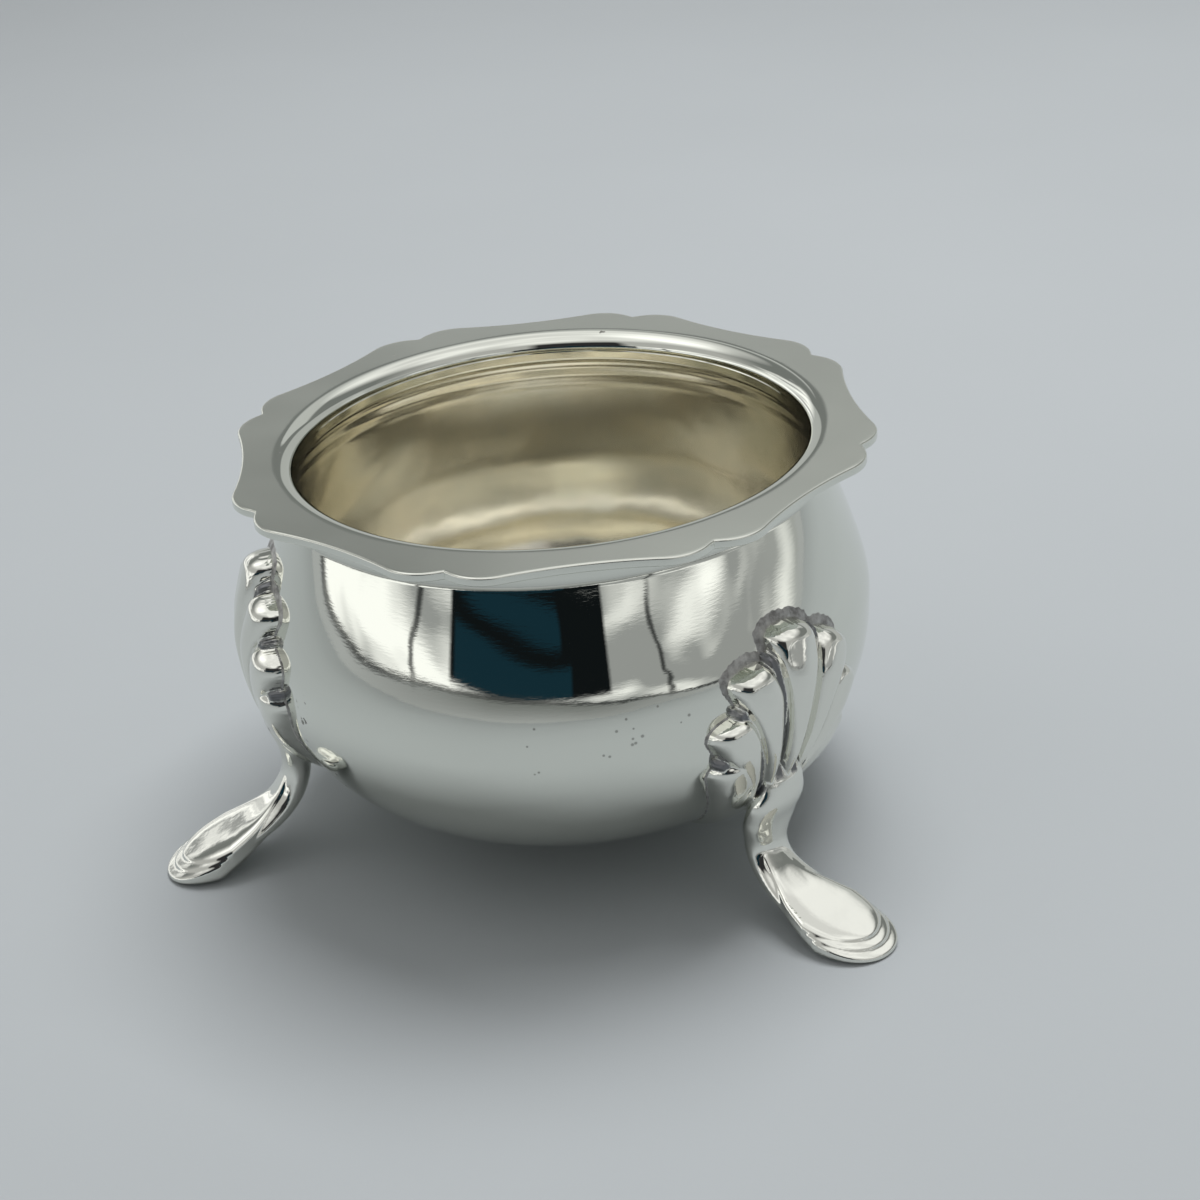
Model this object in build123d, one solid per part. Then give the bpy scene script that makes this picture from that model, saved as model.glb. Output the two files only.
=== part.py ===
from build123d import *
import math
import os

# Salt cellar: a round silver bowl with a shaped everted rim, on three cast legs.
# Sizes are millimetres, +Z is up, and the soles of the feet stand on Z = 0.
# The origin is on the axis of the bowl, level with the soles.

# Rim of the bowl
rim_height = 41.6
rim_notch_radius = 31.0
rim_lobe_radius = 32.2
rim_hollow_radius = 30.4
rim_bays = 8
rim_lobe_angle = 6.0
rim_notch_round = 0.35
rim_edge_round = 0.22

# Wall, mouth and body of the bowl
wall = 0.9
mouth_radius = 26.0
lip_round = 1.8
neck_depth = 3.6
belly_radius = 31.2
belly_height = 23.6
base_height = 2.8
base_fullness = 2.45
shoulder_softness_share = 0.22

# Legs, each bent and soldered on by hand: set lower by its sink, leaning and with its toe turned
leg_angles = {"rear": 90.0, "front_left": 210.0, "front_right": 330.0}
leg_sinks = {"rear": 1.3, "front_left": 0.0, "front_right": 2.9}
leg_leans = {"rear": 0.0, "front_left": -5.5, "front_right": 6.5}
leg_lean_heights = {"rear": 24.0, "front_left": 22.0, "front_right": 30.0}
leg_toe_turns = {"rear": 0.0, "front_left": 0.0, "front_right": 6.0}
toe_reach = 44.4
foot_half_width = 4.2
ankle_half_width = 2.2
ankle_half_thickness = 1.5
ankle_radius = 29.6
ankle_height = 10.8
sole_length = 4.2
toe_thickness = 1.2
foot_widest_share = 0.58
foot_steps = 2
step_width = 0.85
step_lift = 0.32
step_tuck = 0.12
toe_turn_share = 0.25

# Shell on the knee of each leg
shell_root_height = 13.0
shell_top_height = 32.9
shell_half_spread = 7.4
flute_half_width = 2.6
flute_height = 2.3

# Solder between a leg and the bowl
solder_film = 0.2
solder_margin = 0.9

# Turned bodies and cutters run this far past what they trim
overrun = 3.0

neck_radius = mouth_radius + wall
bay_angle = 360.0 / rim_bays


def neck_height():
    """Height at which the straight neck meets the shoulder."""
    return rim_height - neck_depth


def body_radius(height, grow):
    """Radius of the body at a height, with its surface moved out by grow."""
    belly = belly_radius + grow
    if height >= belly_height:
        neck = neck_radius + grow
        rise = (height - belly_height) / (neck_height() - belly_height)
        soft = shoulder_softness_share
        draw = (math.hypot(rise, soft) - soft) / (math.hypot(1, soft) - soft)
        return belly - (belly - neck) * draw
    drop = (belly_height - height) / (belly_height - base_height + grow)
    return belly * (1 - min(drop, 1) ** base_fullness) ** (1 / base_fullness)


def body_curves(grow):
    """Shoulder and lower body of the turned profile, from the neck to the pole."""
    top = neck_height()
    shoulder_shares = (0, 0.25, 0.5, 0.75, 0.9, 1)
    heights = [top + (belly_height - top) * share for share in shoulder_shares]
    shoulder_points = [(body_radius(height, grow), 0, height) for height in heights]
    slope = (body_radius(top, grow) - body_radius(top - wall, grow)) / wall
    shoulder = Spline(*shoulder_points, tangents=[(-slope, 0, -1), (0, 0, -1)])
    belly = belly_radius + grow
    depth = belly_height - base_height + grow
    lower_points = []
    for turn in range(0, 91, 15):
        angle = math.radians(turn)
        across = math.cos(angle) ** (2 / base_fullness) if turn < 90 else 0
        down = math.sin(angle) ** (2 / base_fullness)
        lower_points.append((belly * across, 0, belly_height - depth * down))
    lower = Spline(*lower_points, tangents=[(0, 0, -1), (-1, 0, 0)])
    return shoulder, lower


def turned(edges):
    """Solid turned about the Z axis from a closed profile in the XZ plane."""
    return revolve(make_face(edges), Axis.Z, 360)


def body_core(grow):
    """Filled body below the neck, with its surface moved out by grow."""
    shoulder, lower = body_curves(grow)
    top = shoulder @ 0
    pole = lower @ 1
    lid = Line((0, 0, top.Z), top)
    spine = Line(pole, (0, 0, top.Z))
    return turned([lid, shoulder, lower, spine])


def lip_edges(turn_radius, reach):
    """Flange line, lip arc and neck line, at a distance from the centre of the turn."""
    centre = Vector(mouth_radius + lip_round, 0, rim_height - lip_round)
    top = centre.Z + turn_radius
    flange = Line((reach, 0, top), (centre.X, 0, top))
    arc = arc_about(centre, flange @ 1, centre - Vector(turn_radius, 0, 0))
    neck = Line(arc @ 1, (centre.X - turn_radius, 0, neck_height()))
    return flange, arc, neck


def polar(radius, angle):
    """Point in the XY plane at a radius and an angle in degrees."""
    turn = math.radians(angle)
    return Vector(radius * math.cos(turn), radius * math.sin(turn), 0)


def arc_about(centre, start, end):
    """Short arc from start to end about a centre."""
    middle = (start + end) / 2
    out = (middle - centre).normalized()
    return ThreePointArc(start, centre + out * (start - centre).length, end)


def rim_outline():
    """Shaped outline of the rim: in each bay a long hollow between two lobes."""
    lobe, notch, hollow = rim_lobe_radius, rim_notch_radius, rim_hollow_radius
    near = math.cos(math.radians(rim_lobe_angle))
    lobe_round = (notch**2 + lobe**2 - 2 * notch * lobe * near) / (2 * lobe - 2 * notch * near)
    lobe_centre = lobe - lobe_round
    far = math.cos(math.radians(bay_angle / 2 - rim_lobe_angle))
    spread = lobe_round**2 - lobe_centre**2 - hollow**2 + 2 * hollow * lobe_centre * far
    hollow_round = spread / (2 * hollow - 2 * lobe_centre * far - 2 * lobe_round)
    edges = []
    for bay in range(rim_bays):
        first = bay * bay_angle
        first_lobe = polar(lobe_centre, first + rim_lobe_angle)
        last_lobe = polar(lobe_centre, first + bay_angle - rim_lobe_angle)
        middle = polar(hollow + hollow_round, first + bay_angle / 2)
        share = lobe_round / (lobe_round + hollow_round)
        leave = first_lobe + (middle - first_lobe) * share
        meet = last_lobe + (middle - last_lobe) * share
        edges.append(arc_about(first_lobe, polar(notch, first), leave))
        edges.append(arc_about(middle, leave, meet))
        edges.append(arc_about(last_lobe, meet, polar(notch, first + bay_angle)))
    outline = make_face(edges)
    notches = outline.vertices().filter_by(lambda v: abs(v.center().length - notch) < rim_notch_round)
    return fillet(notches, rim_notch_round)


def is_rim_edge(edge):
    """Whether an edge runs level round the shaped outline of the rim."""
    box = edge.bounding_box()
    middle = edge @ 0.5
    out = math.hypot(middle.X, middle.Y)
    level = box.size.Z < rim_edge_round and middle.Z > rim_height - lip_round
    return level and out > rim_hollow_radius - rim_edge_round


def make_bowl():
    """Bowl, neck and everted rim raised from one sheet."""
    reach = rim_lobe_radius + overrun
    top_flange, top_arc, top_neck = lip_edges(lip_round, reach)
    under_flange, under_arc, under_neck = lip_edges(lip_round - wall, reach)
    outer_shoulder, outer_lower = body_curves(0)
    inner_shoulder, inner_lower = body_curves(-wall)
    edge = Line(top_flange @ 0, under_flange @ 0)
    spine = Line(outer_lower @ 1, inner_lower @ 1)
    inside = [top_flange, top_arc, top_neck, inner_shoulder, inner_lower]
    outside = [under_flange, under_arc, under_neck, outer_shoulder, outer_lower]
    bowl = turned(inside + outside + [edge, spine])
    trim_floor = rim_height - lip_round
    ring = Circle(reach + overrun) - rim_outline()
    bowl -= Pos(0, 0, trim_floor) * extrude(ring, lip_round + overrun)
    rim_edges = bowl.edges().filter_by(is_rim_edge)
    return fillet(rim_edges, rim_edge_round)


def section(centre, along, across, half_width, half_height):
    """Elliptical section square to a path, its width laid across it."""
    plane = Plane(origin=centre, x_dir=across, z_dir=along)
    return plane * Ellipse(half_width, half_height)


def bowl_point(side, height, lift):
    """Point above the bowl at a sideways place and height, leg pointing to +X."""
    radius = body_radius(height, lift)
    return Vector(math.sqrt(radius**2 - side**2), side, height)


def swing(name, height):
    """Sideways shift at a height of the named leg, which leans a little."""
    lean = math.radians(leg_leans[name])
    return math.tan(lean) * (height - leg_lean_heights[name])


def sunk(name, height):
    """Height once the named leg is set lower: its shell moves down, its ankle shortens."""
    return height - leg_sinks[name] * min(height / ankle_height, 1)


def flute(root, bend, tip, tip_half_width, tip_height, extra):
    """One flute of the shell: it swells from the ankle to a blunt rounded end."""
    stations_shares = (0, 0.2, 0.42, 0.64, 0.82, 0.93, 1)
    width_shares = (0.42, 0.5, 0.68, 0.88, 1, 0.97, 0.72)
    height_shares = (1.15, 0.95, 0.86, 0.92, 1, 0.95, 0.66)
    sections = []
    for share, width_share, height_share in zip(stations_shares, width_shares, height_shares):

        def place(t):
            """Point of the flute's path at a share t of its length."""
            side = (1 - t) ** 2 * root[0] + 2 * t * (1 - t) * bend[0] + t**2 * tip[0]
            height = (1 - t) ** 2 * root[1] + 2 * t * (1 - t) * bend[1] + t**2 * tip[1]
            return bowl_point(side, height, solder_film)

        step = 0.01
        centre = place(share)
        along = (place(min(share + step, 1)) - place(max(share - step, 0))).normalized()
        out = Vector(centre.X, centre.Y, 0).normalized()
        across = out.cross(along).normalized()
        half_width = tip_half_width * width_share + extra
        half_height = tip_height * height_share + extra
        sections.append(section(centre, along, across, half_width, half_height))
    return loft(sections)


def shell(name, extra):
    """Fan of seven flutes over the knee, as one solid, each grown by extra."""
    low = shell_root_height
    rise = shell_top_height - low
    spread = shell_half_spread
    # Root, bend and tip by half spread and rise, then width and height, all as shares
    middle_shares = ((0.0, 0.0), (0.0, 0.5), (0.0, 1.0), 1.0, 1.0)
    side_flute_shares = (
        ((0.09, -0.01), (0.24, 0.42), (0.62, 0.85), 0.94, 0.91),
        ((0.15, -0.04), (0.38, 0.24), (0.98, 0.60), 0.90, 0.80),
        ((0.16, -0.07), (0.39, 0.06), (0.90, 0.37), 0.80, 0.70),
    )
    fan = []
    for root, bend, tip, width_share, height_share in (middle_shares, *side_flute_shares):
        for hand in (1, -1):
            places = []
            for across, up in (root, bend, tip):
                height = low + rise * up
                side = hand * spread * across + swing(name, height)
                places.append((side, sunk(name, height)))
            half_width = flute_half_width * width_share
            fan.append(flute(*places, half_width, flute_height * height_share, extra))
    return fan[0] + fan[2:]


def shank(name, extra):
    """Round ankle from inside the shell down to the instep, grown by extra."""
    # Radius past the ankle, height, half width and half thickness as shares, then tilt in degrees
    station_shares = (
        (0.90, 1.70, 1.20, 0.60, 15.0),
        (0.45, 1.42, 1.42, 1.05, 14.0),
        (0.10, 1.20, 1.17, 1.00, 6.0),
        (0.00, 1.00, 1.00, 1.00, 0.0),
        (0.22, 0.81, 0.94, 0.97, -20.0),
        (0.95, 0.62, 0.97, 0.92, -43.0),
        (2.35, 0.455, 1.14, 0.85, -57.0),
        (4.20, 0.32, 1.32, 0.70, -63.0),
    )
    sections = []
    for outward, share, width, thickness, tilt in station_shares:
        height = share * ankle_height
        out = ankle_radius + outward * ankle_half_thickness
        centre = Vector(out, swing(name, height), sunk(name, height))
        angle = math.radians(tilt)
        along = Vector(math.sin(angle), 0, math.cos(angle))
        half_width = ankle_half_width * width + extra
        half_height = ankle_half_thickness * thickness + extra
        sections.append(section(centre, along, Vector(0, 1, 0), half_width, half_height))
    return loft(sections)


def foot_side(ankle, drop):
    """Side face of a foot under an ankle of that height, its top line lowered by drop."""
    front = ankle_radius + ankle_half_thickness
    back = ankle_radius - ankle_half_thickness
    # Places from ankle to toe and heights up to the ankle, as shares
    top_shares = ((0.0, 0.86), (0.10, 0.65), (0.23, 0.49), (0.44, 0.335), (0.75, 0.16), (1.0, 0.0))
    under_shares = ((0.08, 0.66), (0.22, 0.46), (0.36, 0.36), (0.60, 0.20), (0.82, 0.08), (1.0, 0.0))
    rise = ankle - toe_thickness
    top_points = []
    for outward, height in top_shares:
        x = front + (toe_reach - front) * outward
        top_points.append((x, 0, toe_thickness - drop + rise * height))
    under_points = []
    for outward, height in under_shares:
        x = back + (toe_reach - sole_length - back) * outward
        under_points.append((x, 0, ankle * height))
    top = Spline(*top_points)
    under = Spline(*under_points)
    toe = Line(top @ 1, (toe_reach, 0, 0))
    sole = Line(toe @ 1, under @ 1)
    heel = Line(under @ 0, top @ 0)
    return make_face([top, toe, sole, under, heel])


def foot_layer(step, ankle):
    """One layer of the foot: its plan, ending in a rounded toe, cut to the side line."""
    start = ankle_radius + ankle_half_thickness
    tip = toe_reach - step * step_width
    widest = start + foot_widest_share * (toe_reach - start)
    corner = widest - step * step_width
    # Places from the ankle to the corner and half widths there, as shares
    plan_shares = ((0.0, 0.38), (0.22, 0.47), (0.6, 0.78), (1.0, 1.0))
    side_points = []
    for along, across in plan_shares:
        half_width = foot_half_width * across - step * step_tuck
        side_points.append((start + (corner - start) * along, half_width))
    left_side = Spline(*side_points)
    left_toe = Spline(left_side @ 1, (tip, 0), tangents=[(1, -toe_turn_share), (0, -1)])
    right_side = mirror(left_side, Plane.XZ)
    right_toe = mirror(left_toe, Plane.XZ)
    back = Line(right_side @ 0, left_side @ 0)
    plan = make_face([left_side, left_toe, right_side, right_toe, back])
    drop = (foot_steps - step) * step_lift
    side = extrude(foot_side(ankle, drop), foot_half_width, both=True)
    return extrude(plan, ankle_height) & side


def make_foot(name):
    """Stepped foot of the named leg, turned about the ankle and carried by the lean."""
    ankle = sunk(name, ankle_height)
    layers = [foot_layer(step, ankle) for step in range(foot_steps + 1)]
    foot = layers[0] + layers[1:]
    place = Pos(ankle_radius, swing(name, toe_thickness), 0)
    return place * Rot(0, 0, leg_toe_turns[name]) * Pos(-ankle_radius, 0, 0) * foot


def make_leg(name, core, film_core):
    """The named leg and its run of solder, fitted to the bowl, leg pointing to +X."""
    casting = shell(name, 0) + shank(name, 0) + make_foot(name)
    film = shell(name, solder_margin) + shank(name, solder_margin)
    return casting - film_core, film & (film_core - core)


os.makedirs("parts", exist_ok=True)
core = body_core(0)
film_core = body_core(solder_film)
pieces = {"bowl": make_bowl()}
for name, angle in leg_angles.items():
    leg, solder = make_leg(name, core, film_core)
    pieces[f"leg_{name}"] = Rot(0, 0, angle) * leg
    pieces[f"solder_{name}"] = Rot(0, 0, angle) * solder
for name, piece in pieces.items():
    export_step(piece, f"parts/{name}.step")
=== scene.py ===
"""Dressed model of a round silver salt cellar on three cast legs, on a pale table."""

import logging
import math
from dataclasses import dataclass, field, replace
from enum import Enum

import bmesh
import bpy
import numpy as np
from mathutils import Matrix, Vector


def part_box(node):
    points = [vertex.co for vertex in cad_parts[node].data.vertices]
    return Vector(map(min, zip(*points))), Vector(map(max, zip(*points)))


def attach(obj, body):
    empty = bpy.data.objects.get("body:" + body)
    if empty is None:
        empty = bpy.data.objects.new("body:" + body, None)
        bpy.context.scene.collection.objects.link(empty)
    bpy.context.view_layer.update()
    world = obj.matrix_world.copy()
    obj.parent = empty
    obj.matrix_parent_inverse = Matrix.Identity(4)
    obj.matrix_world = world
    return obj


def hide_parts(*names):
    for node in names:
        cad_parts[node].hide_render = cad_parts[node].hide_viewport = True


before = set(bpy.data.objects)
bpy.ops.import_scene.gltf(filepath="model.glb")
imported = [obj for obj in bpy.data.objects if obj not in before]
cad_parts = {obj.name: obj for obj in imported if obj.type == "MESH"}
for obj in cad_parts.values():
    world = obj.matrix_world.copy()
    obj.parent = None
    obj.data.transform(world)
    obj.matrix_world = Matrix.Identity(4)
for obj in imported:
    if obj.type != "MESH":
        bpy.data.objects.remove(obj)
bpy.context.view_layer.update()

MM = 0.001
LOG = logging.getLogger("salt_cellar")


class Slot(Enum):
    """Material slots of the record."""

    BOWL = "bowl_silver"
    CAST = "cast_silver"
    SOLDER = "solder"


class Place(Enum):
    """Legs by name, with the angle in degrees at which each stands."""

    REAR = 90.0
    FRONT_LEFT = 210.0
    FRONT_RIGHT = 330.0

    @property
    def label(self) -> str:
        """Name of the leg as the frame's nodes end with it."""
        return self.name.lower()


# ---- small mesh and node helpers -------------------------------------------------------------


def add_mesh(name: str, points: np.ndarray, faces: list[tuple[int, ...]]) -> bpy.types.Object:
    """Make a smooth-shaded mesh object from points in millimetres.

    Args:
        name: Name of the new piece.
        points: Array of corner places, in millimetres.
        faces: Corner numbers of each face.

    Returns:
        The new object, linked to the scene.
    """
    mesh = bpy.data.meshes.new(name)
    mesh.from_pydata((np.asarray(points) * MM).tolist(), [], faces)
    mesh.validate()
    mesh.shade_smooth()
    piece = bpy.data.objects.new(name, mesh)
    bpy.context.scene.collection.objects.link(piece)
    return piece


def turn_outward(piece: bpy.types.Object) -> None:
    """Make the faces of a closed mesh point out."""
    work = bmesh.new()
    work.from_mesh(piece.data)
    bmesh.ops.recalc_face_normals(work, faces=work.faces)
    work.to_mesh(piece.data)
    work.free()


def set_point_values(piece: bpy.types.Object, name: str, values: np.ndarray) -> None:
    """Store one number for each corner of a mesh, for its finish to read."""
    layer = piece.data.attributes.new(name, "FLOAT", "POINT")
    layer.data.foreach_set("value", np.asarray(values, dtype=np.float32))


def smooth_step(low: float, high: float, value: np.ndarray) -> np.ndarray:
    """Ease from 0 at low to 1 at high, which may be the smaller of the two."""
    share = np.clip((np.asarray(value) - low) / (high - low), 0.0, 1.0)
    return share * share * (3.0 - 2.0 * share)


class NodeSheet:
    """A node tree, with short calls that add and join its nodes."""

    coordinates = "Object"

    def __init__(self, tree: bpy.types.NodeTree) -> None:
        """Start with an empty tree."""
        self.tree = tree
        self.tree.nodes.clear()

    def add(self, kind: str, **settings: object) -> bpy.types.Node:
        """Add a node and set its properties.

        Args:
            kind: Blender's name of the node type.
            settings: Properties of the node and their values.

        Returns:
            The new node.
        """
        node = self.tree.nodes.new(kind)
        for key, value in settings.items():
            setattr(node, key, value)
        return node

    def join(self, source: bpy.types.NodeSocket, target: bpy.types.NodeSocket) -> None:
        """Link one socket to another."""
        self.tree.links.new(source, target)

    def noise(self, scale: float, detail: float, rough: float, stretch: tuple = (1, 1, 1), place: object = None) -> bpy.types.NodeSocket:
        """Add a noise that follows the sheet's own coordinates.

        Args:
            scale: Waves in one metre.
            detail: Octaves of finer noise.
            rough: Strength of the finer octaves.
            stretch: Scale along X, Y and Z.
            place: Socket of other coordinates to follow instead.

        Returns:
            The noise's value, about 0.5 on average.
        """
        place = place or self.add("ShaderNodeTexCoord").outputs[self.coordinates]
        mapping = self.add("ShaderNodeMapping")
        mapping.inputs["Scale"].default_value = stretch
        self.join(place, mapping.inputs["Vector"])
        noise = self.add("ShaderNodeTexNoise")
        noise.inputs["Scale"].default_value = scale
        noise.inputs["Detail"].default_value = detail
        noise.inputs["Roughness"].default_value = rough
        self.join(mapping.outputs["Vector"], noise.inputs["Vector"])
        return noise.outputs["Fac"]

    def spread(self, value: bpy.types.NodeSocket, span: tuple, result: tuple) -> bpy.types.NodeSocket:
        """Stretch a span of values to another, held at both ends.

        Args:
            value: Value to stretch.
            span: Lowest and highest value that count.
            result: What these two become.

        Returns:
            The stretched value.
        """
        node = self.add("ShaderNodeMapRange")
        node.inputs["From Min"].default_value, node.inputs["From Max"].default_value = span
        node.inputs["To Min"].default_value, node.inputs["To Max"].default_value = result
        self.join(value, node.inputs["Value"])
        return node.outputs["Result"]

    def window(self, value: bpy.types.NodeSocket, low: float, high: float, soft: float) -> bpy.types.NodeSocket:
        """Mask that is 1 between two values and fades to 0 beyond them.

        Args:
            value: Value to test.
            low: Middle of the lower fade.
            high: Middle of the upper fade.
            soft: Half the width of each fade.

        Returns:
            The mask.
        """
        rise = self.spread(value, (low - soft, low + soft), (0.0, 1.0))
        return self.maths("MULTIPLY", rise, self.spread(value, (high - soft, high + soft), (1.0, 0.0)))

    def blend_colours(self, share: bpy.types.NodeSocket, first: object, second: object) -> bpy.types.NodeSocket:
        """Blend two colours.

        Args:
            share: How much of the second colour shows.
            first: Colour where the share is 0, as numbers or a socket.
            second: Colour where the share is 1, as numbers or a socket.

        Returns:
            The blended colour.
        """
        node = self.add("ShaderNodeMix", data_type="RGBA")
        sockets = [one for one in node.inputs if one.type == "RGBA"]
        for socket, colour in zip(sockets, (first, second)):
            if isinstance(colour, bpy.types.NodeSocket):
                self.join(colour, socket)
            else:
                socket.default_value = (*colour, 1.0)
        self.join(share, node.inputs["Factor"])
        return [one for one in node.outputs if one.type == "RGBA"][0]

    def maths(self, operation: str, first: object, second: object) -> bpy.types.NodeSocket:
        """Combine two values.

        Args:
            operation: Blender's name of the operation.
            first: Number or socket.
            second: Number or socket.

        Returns:
            The combined value.
        """
        node = self.add("ShaderNodeMath", operation=operation)
        for socket, value in zip(node.inputs, (first, second)):
            if isinstance(value, bpy.types.NodeSocket):
                self.join(value, socket)
            else:
                socket.default_value = value
        return node.outputs["Value"]

    def spots(self, places: tuple) -> bpy.types.NodeSocket:
        """Small round spots.

        Args:
            places: Middle and radius of each spot, in millimetres.

        Returns:
            1 in the spots, 0 outside them.
        """
        total = None
        for x, y, z, radius in places:
            gap = self.add("ShaderNodeVectorMath", operation="DISTANCE")
            self.join(self.add("ShaderNodeTexCoord").outputs["Object"], gap.inputs[0])
            gap.inputs[1].default_value = (x * MM, y * MM, z * MM)
            spot = self.spread(gap.outputs["Value"], (radius * 0.5 * MM, radius * MM), (1.0, 0.0))
            total = spot if total is None else self.maths("MAXIMUM", total, spot)
        return total

    def point_value(self, name: str) -> bpy.types.NodeSocket:
        """Value stored on the mesh under a name."""
        return self.add("ShaderNodeAttribute", attribute_name=name).outputs["Fac"]

    def bump(self, height: bpy.types.NodeSocket, distance: float, strength: float, below: object = None) -> bpy.types.NodeSocket:
        """Turn a height into a bump.

        Args:
            height: Height from 0 to 1.
            distance: Real height of 1, in metres.
            strength: Share of the bump that shows.
            below: Normal of a coarser bump that this one lies on.

        Returns:
            The normal.
        """
        node = self.add("ShaderNodeBump")
        node.inputs["Distance"].default_value = distance
        node.inputs["Strength"].default_value = strength
        self.join(height, node.inputs["Height"])
        if below is not None:
            self.join(below, node.inputs["Normal"])
        return node.outputs["Normal"]


class FinishSheet(NodeSheet):
    """Node tree of a new material."""

    def __init__(self, name: str) -> None:
        """Start an empty material.

        Args:
            name: Name of the material.
        """
        self.material = bpy.data.materials.new(name)
        self.material.use_nodes = True
        super().__init__(self.material.node_tree)
        self.output = self.add("ShaderNodeOutputMaterial")


class RoomSheet(NodeSheet):
    """Node tree of the room round the object, whose coordinates are directions."""

    coordinates = "Generated"


# ---- finishes --------------------------------------------------------------------------------


# Pits seen in the front of the bowl: middle and radius in millimetres.
FRONT_PITS = (
    (6.6, -30.3, 25.7, 0.17), (5.9, -30.6, 24.0, 0.15), (6.3, -30.4, 21.0, 0.16), (6.7, -30.4, 21.2, 0.16),
    (12.4, -28.6, 22.5, 0.17), (12.9, -28.4, 22.3, 0.18), (14.8, -27.4, 23.2, 0.22), (15.1, -27.3, 23.3, 0.20),
    (15.7, -27.0, 23.9, 0.22), (14.9, -27.4, 23.8, 0.17), (13.6, -28.0, 24.8, 0.19), (15.0, -27.3, 24.8, 0.14),
    (14.4, -27.4, 25.8, 0.17), (16.9, -25.7, 26.4, 0.16), (19.4, -24.3, 24.9, 0.20), (18.8, -24.9, 24.4, 0.13),
)


@dataclass(frozen=True)
class BowlSilver:
    """Polished silver, worn gilding inside, fine wear and a few pits."""

    silver: tuple = (0.765, 0.78, 0.72)
    gold: tuple = (0.95, 0.905, 0.78)
    pit: tuple = (0.10, 0.095, 0.085)
    polish: float = 0.012
    wear: float = 0.05

    def make(self) -> bpy.types.Material:
        """Build the material of the bowl."""
        sheet = FinishSheet("bowl_silver")
        metal = sheet.add("ShaderNodeBsdfPrincipled")
        metal.inputs["Metallic"].default_value = 1.0
        gilding = sheet.point_value("gilding")
        patches = sheet.spread(sheet.noise(110.0, 4.0, 0.6), (0.35, 0.68), (1.0, 0.45))
        gilt_share = sheet.maths("MULTIPLY", gilding, patches)
        colour = sheet.blend_colours(gilt_share, self.silver, self.gold)
        speck = sheet.noise(900.0, 2.0, 0.5)
        zone = sheet.noise(70.0, 1.0, 0.5)
        pits = sheet.spread(sheet.maths("MULTIPLY", speck, zone), (0.475, 0.50), (0.0, 1.0))
        pits = sheet.maths("MULTIPLY", pits, sheet.spread(gilding, (0.0, 1.0), (0.8, 0.12)))
        pits = sheet.maths("MAXIMUM", pits, sheet.maths("MULTIPLY", sheet.spots(FRONT_PITS), 0.55))
        colour = sheet.blend_colours(pits, colour, self.pit)
        sheet.join(colour, metal.inputs["Base Color"])
        haze = sheet.spread(sheet.noise(60.0, 6.0, 0.6), (0.35, 0.75), (self.polish, self.wear))
        satin = sheet.point_value("satin")
        rough = sheet.maths("ADD", haze, sheet.maths("MULTIPLY", satin, 0.20))
        rough = sheet.maths("ADD", rough, sheet.maths("MULTIPLY", gilding, 0.13))
        rough = sheet.maths("ADD", rough, sheet.maths("MULTIPLY", pits, 0.4))
        sheet.join(rough, metal.inputs["Roughness"])
        hammer = sheet.bump(sheet.noise(80.0, 1.0, 0.3), 0.00034, 0.5)
        dents = sheet.maths("MULTIPLY", sheet.noise(110.0, 2.0, 0.5), gilding)
        hammer = sheet.bump(dents, 0.0004, 0.5, hammer)
        scratch = sheet.bump(sheet.noise(900.0, 3.0, 0.6, (1.0, 1.0, 5.0)), 0.000005, 0.25, hammer)
        sheet.join(scratch, metal.inputs["Normal"])
        sheet.join(metal.outputs["BSDF"], sheet.output.inputs["Surface"])
        return sheet.material


@dataclass(frozen=True)
class CastSilver:
    """Polished cast silver, dark with tarnish in its grooves."""

    silver: tuple = (0.80, 0.805, 0.75)
    tarnish: tuple = (0.20, 0.205, 0.215)

    def make(self) -> bpy.types.Material:
        """Build the material of the legs."""
        sheet = FinishSheet("cast_silver")
        metal = sheet.add("ShaderNodeBsdfPrincipled")
        metal.inputs["Metallic"].default_value = 1.0
        groove = sheet.point_value("groove")
        uneven = sheet.spread(sheet.noise(700.0, 4.0, 0.6), (0.3, 0.7), (0.65, 1.25))
        dark = sheet.spread(sheet.maths("MULTIPLY", groove, uneven), (0.18, 0.85), (0.0, 1.0))
        sheet.join(sheet.blend_colours(dark, self.silver, self.tarnish), metal.inputs["Base Color"])
        haze = sheet.spread(sheet.noise(300.0, 5.0, 0.6), (0.35, 0.75), (0.03, 0.11))
        rough = sheet.maths("ADD", haze, sheet.maths("MULTIPLY", dark, 0.35))
        sheet.join(rough, metal.inputs["Roughness"])
        cast = sheet.bump(sheet.noise(420.0, 3.0, 0.5), 0.00006, 0.5)
        sheet.join(cast, metal.inputs["Normal"])
        sheet.join(metal.outputs["BSDF"], sheet.output.inputs["Surface"])
        return sheet.material


@dataclass(frozen=True)
class SolderRun:
    """Dull grey solder, rough and stained, with bright flecks."""

    dull: tuple = (0.50, 0.50, 0.49)
    stain: tuple = (0.24, 0.235, 0.23)

    def make(self) -> bpy.types.Material:
        """Build the material of the solder."""
        sheet = FinishSheet("solder")
        metal = sheet.add("ShaderNodeBsdfPrincipled")
        metal.inputs["Metallic"].default_value = 0.9
        cloud = sheet.spread(sheet.noise(900.0, 6.0, 0.7), (0.35, 0.65), (0.0, 1.0))
        sheet.join(sheet.blend_colours(cloud, self.stain, self.dull), metal.inputs["Base Color"])
        sheet.join(sheet.spread(cloud, (0.0, 1.0), (0.62, 0.30)), metal.inputs["Roughness"])
        grain = sheet.bump(sheet.noise(2200.0, 6.0, 0.7), 0.00012, 0.8)
        sheet.join(grain, metal.inputs["Normal"])
        sheet.join(metal.outputs["BSDF"], sheet.output.inputs["Surface"])
        return sheet.material


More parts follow.
